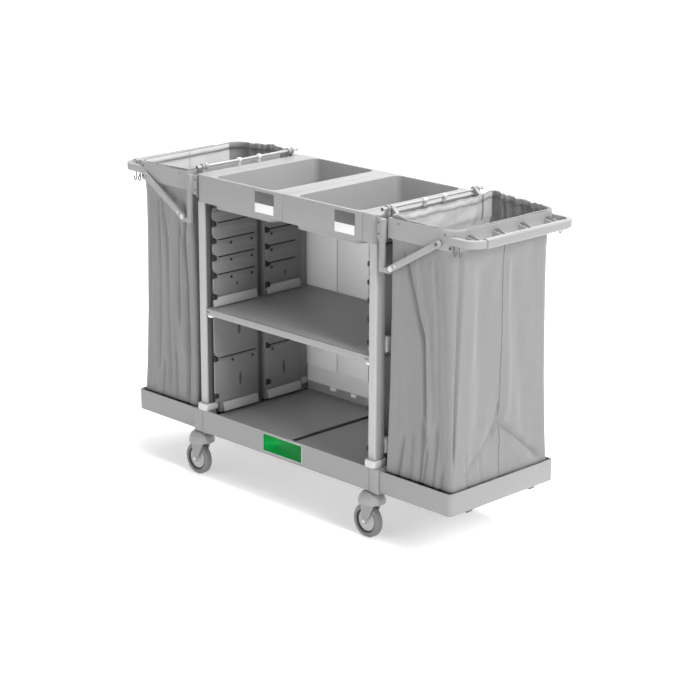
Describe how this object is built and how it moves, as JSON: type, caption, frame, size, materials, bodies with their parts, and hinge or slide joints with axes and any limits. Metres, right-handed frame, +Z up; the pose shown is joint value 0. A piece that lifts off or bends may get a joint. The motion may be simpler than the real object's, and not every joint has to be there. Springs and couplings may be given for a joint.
{
  "type": "housekeeping cart",
  "caption": "Wheeled housekeeping cart: open cabinet with shelf and top trays between folding frames that hold laundry bags over end trays, on swivel casters.",
  "frame": {"origin": "on the floor, below the middle of the cart's box", "axes": "+X along the cart towards the end with the corner cap, -Y out of the open front, +Z up"},
  "size_m": [1.854, 0.604, 1.223],
  "materials": {
    "platform_grey": "fine moulded texture",
    "mat_grey": "ribbed matt",
    "runner_black": "satin",
    "post_white": "pale anodised",
    "shoe_white": "satin",
    "top_grey": "fine moulded texture",
    "label_black": "gloss film",
    "card_white": "card under film",
    "panel_grey": "fine moulded texture",
    "upright_dark": "dark anodised",
    "back_white": "smooth laminate",
    "clip_white": "satin",
    "shelf_dark": "grained laminate",
    "lip_grey": "satin anodised",
    "plate_green": "gloss film",
    "bracket_grey": "satin paint",
    "rod_steel": "drawn",
    "frame_grey": "fine moulded texture",
    "grip_grey": "satin",
    "hook_black": "satin",
    "bag_nylon": "woven nylon",
    "stay_grey": "satin",
    "fork_grey": "satin",
    "axle_steel": "turned",
    "hub_grey": "satin",
    "tyre_grey": "matt rubber"
  },
  "bodies": {
    "chassis": {"base_platform": "platform_grey", "base_tray_left": "platform_grey", "base_tray_right": "platform_grey", "base_mats": "mat_grey", "tray_runners": "runner_black", "post_front_left": "post_white", "post_front_right": "post_white", "post_rear_left": "post_white", "post_rear_right": "post_white", "post_shoes": "shoe_white", "top_tray_left": "top_grey", "top_tray_right": "top_grey", "top_corner_cap": "top_grey", "label_plates": "label_black", "label_cards": "card_white", "side_panel_left_front": "panel_grey", "side_panel_left_rear": "panel_grey", "side_panel_right_front": "panel_grey", "side_panel_right_rear": "panel_grey", "centre_uprights": "upright_dark", "back_slats": "back_white", "back_kick_panel": "back_white", "back_clips": "clip_white", "shelf_board": "shelf_dark", "shelf_lip": "lip_grey", "shelf_clips": "clip_white", "name_plate": "plate_green", "hinge_brackets_left": "bracket_grey", "hinge_brackets_right": "bracket_grey", "hinge_rod_left": "rod_steel", "hinge_rod_right": "rod_steel"},
    "caster_fl": {"caster_fork_fl": "fork_grey", "caster_axle_fl": "axle_steel"},
    "wheel_fl": {"caster_hub_fl": "hub_grey", "caster_tyre_fl": "tyre_grey"},
    "caster_fr": {"caster_fork_fr": "fork_grey", "caster_axle_fr": "axle_steel"},
    "wheel_fr": {"caster_hub_fr": "hub_grey", "caster_tyre_fr": "tyre_grey"},
    "caster_rl": {"caster_fork_rl": "fork_grey", "caster_axle_rl": "axle_steel"},
    "wheel_rl": {"caster_hub_rl": "hub_grey", "caster_tyre_rl": "tyre_grey"},
    "caster_rr": {"caster_fork_rr": "fork_grey", "caster_axle_rr": "axle_steel"},
    "wheel_rr": {"caster_hub_rr": "hub_grey", "caster_tyre_rr": "tyre_grey"},
    "frame_left": {"bag_frame_left": "frame_grey", "grip_left": "grip_grey", "bag_hooks_left": "hook_black", "bag_left": "bag_nylon"},
    "stay_left_front": {"stay_left_front": "stay_grey"},
    "stay_left_rear": {"stay_left_rear": "stay_grey"},
    "frame_right": {"bag_frame_right": "frame_grey", "grip_right": "grip_grey", "bag_hooks_right": "hook_black", "bag_right": "bag_nylon"},
    "stay_right_front": {"stay_right_front": "stay_grey"},
    "stay_right_rear": {"stay_right_rear": "stay_grey"}
  },
  "joints": [
    {"name": "caster_fl_swivel", "type": "hinge", "parent": "chassis", "child": "caster_fl", "pos_m": [-0.464, -0.252, 0.2], "axis": [0, 0, 1], "continuous": true},
    {"name": "wheel_fl_spin", "type": "hinge", "parent": "caster_fl", "child": "wheel_fl", "pos_m": [-0.504, -0.252, 0.0625], "axis": [0, 1, 0], "continuous": true},
    {"name": "caster_fr_swivel", "type": "hinge", "parent": "chassis", "child": "caster_fr", "pos_m": [0.464, -0.252, 0.2], "axis": [0, 0, 1], "continuous": true},
    {"name": "wheel_fr_spin", "type": "hinge", "parent": "caster_fr", "child": "wheel_fr", "pos_m": [0.424, -0.252, 0.0625], "axis": [0, 1, 0], "continuous": true},
    {"name": "caster_rl_swivel", "type": "hinge", "parent": "chassis", "child": "caster_rl", "pos_m": [-0.464, 0.252, 0.2], "axis": [0, 0, 1], "continuous": true},
    {"name": "wheel_rl_spin", "type": "hinge", "parent": "caster_rl", "child": "wheel_rl", "pos_m": [-0.504, 0.252, 0.0625], "axis": [0, 1, 0], "continuous": true},
    {"name": "caster_rr_swivel", "type": "hinge", "parent": "chassis", "child": "caster_rr", "pos_m": [0.464, 0.252, 0.2], "axis": [0, 0, 1], "continuous": true},
    {"name": "wheel_rr_spin", "type": "hinge", "parent": "caster_rr", "child": "wheel_rr", "pos_m": [0.424, 0.252, 0.0625], "axis": [0, 1, 0], "continuous": true},
    {"name": "bag_frame_left_fold", "type": "hinge", "parent": "chassis", "child": "frame_left", "pos_m": [-0.484, 0, 1.211], "axis": [0, 1, 0], "range_deg": [0, 90]},
    {"name": "stay_left_front_swing", "type": "hinge", "parent": "frame_left", "child": "stay_left_front", "pos_m": [-0.765, -0.274, 1.143], "axis": [0, 1, 0], "range_deg": [-50, 0]},
    {"name": "stay_left_rear_swing", "type": "hinge", "parent": "frame_left", "child": "stay_left_rear", "pos_m": [-0.765, 0.274, 1.143], "axis": [0, 1, 0], "range_deg": [-50, 0]},
    {"name": "bag_frame_right_fold", "type": "hinge", "parent": "chassis", "child": "frame_right", "pos_m": [0.484, 0, 1.211], "axis": [0, -1, 0], "range_deg": [0, 90]},
    {"name": "stay_right_front_swing", "type": "hinge", "parent": "frame_right", "child": "stay_right_front", "pos_m": [0.765, -0.274, 1.143], "axis": [0, -1, 0], "range_deg": [-50, 0]},
    {"name": "stay_right_rear_swing", "type": "hinge", "parent": "frame_right", "child": "stay_right_rear", "pos_m": [0.765, 0.274, 1.143], "axis": [0, -1, 0], "range_deg": [-50, 0]}
  ],
  "couplings": [
    {"joint": "stay_left_front_swing", "follows": "bag_frame_left_fold", "ratio": -0.55},
    {"joint": "stay_left_rear_swing", "follows": "bag_frame_left_fold", "ratio": -0.55},
    {"joint": "stay_right_front_swing", "follows": "bag_frame_right_fold", "ratio": -0.55},
    {"joint": "stay_right_rear_swing", "follows": "bag_frame_right_fold", "ratio": -0.55}
  ]
}
